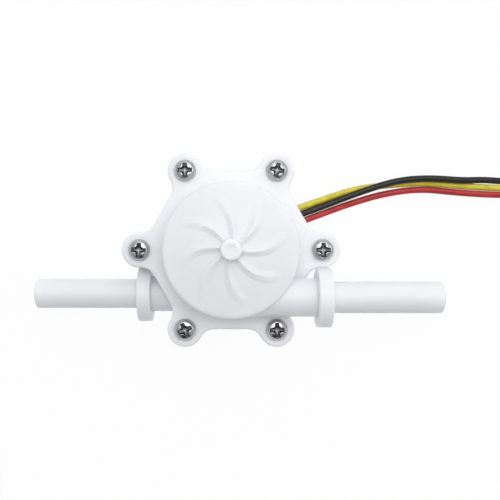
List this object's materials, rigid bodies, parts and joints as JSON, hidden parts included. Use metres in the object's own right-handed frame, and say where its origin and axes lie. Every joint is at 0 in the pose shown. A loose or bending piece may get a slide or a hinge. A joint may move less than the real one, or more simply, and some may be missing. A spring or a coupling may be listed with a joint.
{
  "type": "water flow sensor",
  "caption": "Inline liquid flow sensor: a lobed white plastic case with a ribbed round cover, hose stems on opposite sides, a magnetic bladed rotor inside and signal leads.",
  "frame": {"origin": "on the rotor axis in the plane of the flat back face", "axes": "+Z along the rotor axis from the back to the domed cover, +X from the inlet stem to the outlet stem, +Y away from the stems"},
  "size_m": [0.131, 0.0405, 0.028],
  "materials": {
    "case_plastic": "satin moulded",
    "seal_rubber": "matt",
    "screw_plating": "bright plated",
    "rotor_plastic": "satin moulded",
    "magnet_ferrite": "matt sintered",
    "shaft_steel": "ground",
    "bearing_plastic": "satin",
    "board_green": "solder mask",
    "package_black": "matt moulded",
    "chip_tan": "fired",
    "tinned_metal": "tinned",
    "potting_resin": "cast resin",
    "lead_yellow": "soft insulation",
    "lead_black": "soft insulation",
    "lead_red": "soft insulation",
    "connector_nylon": "satin moulded",
    "tie_nylon": "satin moulded"
  },
  "bodies": {
    "housing": {"rear_housing": "case_plastic", "front_cover": "case_plastic", "seal_ring": "seal_rubber", "cover_screws": "screw_plating", "rotor_shaft": "shaft_steel", "thrust_washers": "bearing_plastic", "circuit_board": "board_green", "hall_sensor": "package_black", "sensor_legs": "tinned_metal", "chip_capacitor": "chip_tan", "chip_resistor": "package_black", "lead_conductors": "tinned_metal", "solder_joints": "tinned_metal", "potting_compound": "potting_resin", "lead_yellow": "lead_yellow", "lead_black": "lead_black", "lead_red": "lead_red", "tail_yellow": "lead_yellow", "tail_black": "lead_black", "tail_red": "lead_red", "lead_coil": "lead_black", "coil_tie": "tie_nylon", "connector_housing": "connector_nylon", "connector_contacts": "tinned_metal"},
    "rotor": {"rotor_wheel": "rotor_plastic", "rotor_magnets": "magnet_ferrite", "magnet_cap": "rotor_plastic", "rotor_bushes": "bearing_plastic"}
  },
  "joints": [
    {"name": "rotor_spin", "type": "hinge", "parent": "housing", "child": "rotor", "pos_m": [0, 0, 0.01185], "axis": [0, 0, 1], "continuous": true}
  ]
}
